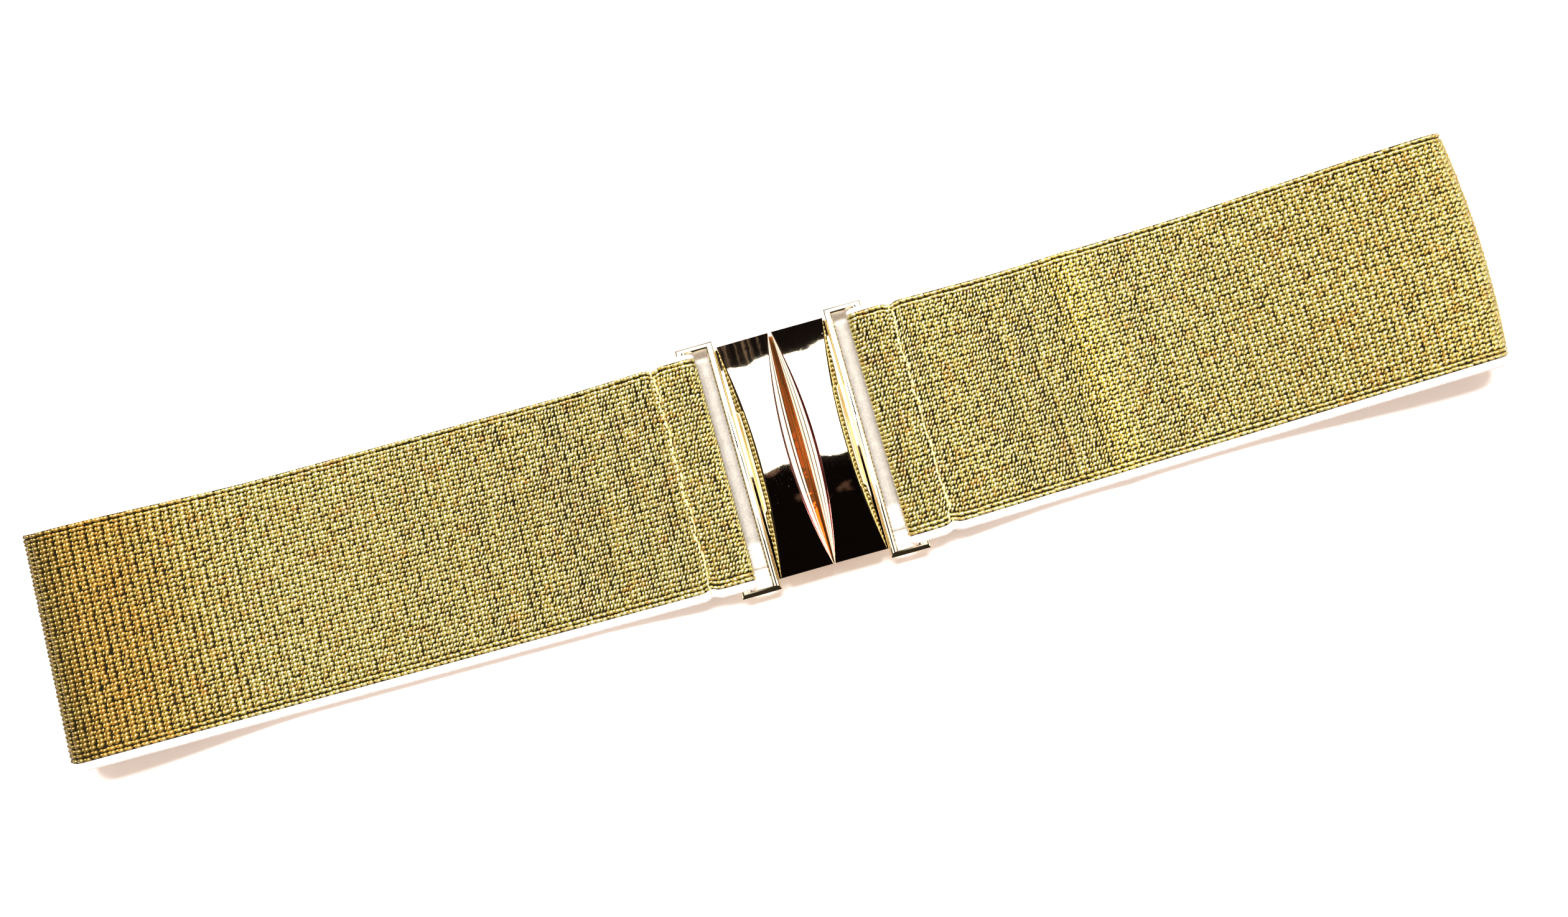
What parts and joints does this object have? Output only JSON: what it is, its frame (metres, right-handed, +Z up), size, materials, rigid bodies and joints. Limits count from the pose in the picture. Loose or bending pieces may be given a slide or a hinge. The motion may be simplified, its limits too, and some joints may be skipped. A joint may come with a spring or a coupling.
{
  "type": "elastic stretch belt",
  "caption": "Wide elastic stretch belt in gold-faced webbing, fastened by a two-part hourglass clasp and laid flat as a closed loop.",
  "frame": {"origin": "middle of the belt's box, on the surface that the belt lies on", "axes": "+X along the belt, +Y across it, +Z up from the surface towards the clasp"},
  "size_m": [0.36, 0.0664, 0.012],
  "materials": {
    "gold_webbing": "metallic gold woven face on elastic webbing, with white selvedges and a ribbed cream inner face",
    "gold_plate": "polished pale champagne-gold plating on a die-cast clasp"
  },
  "bodies": {
    "root": {"elastic_strap": "gold_webbing", "left_clasp_half": "gold_plate", "right_clasp_half": "gold_plate"}
  },
  "joints": []
}
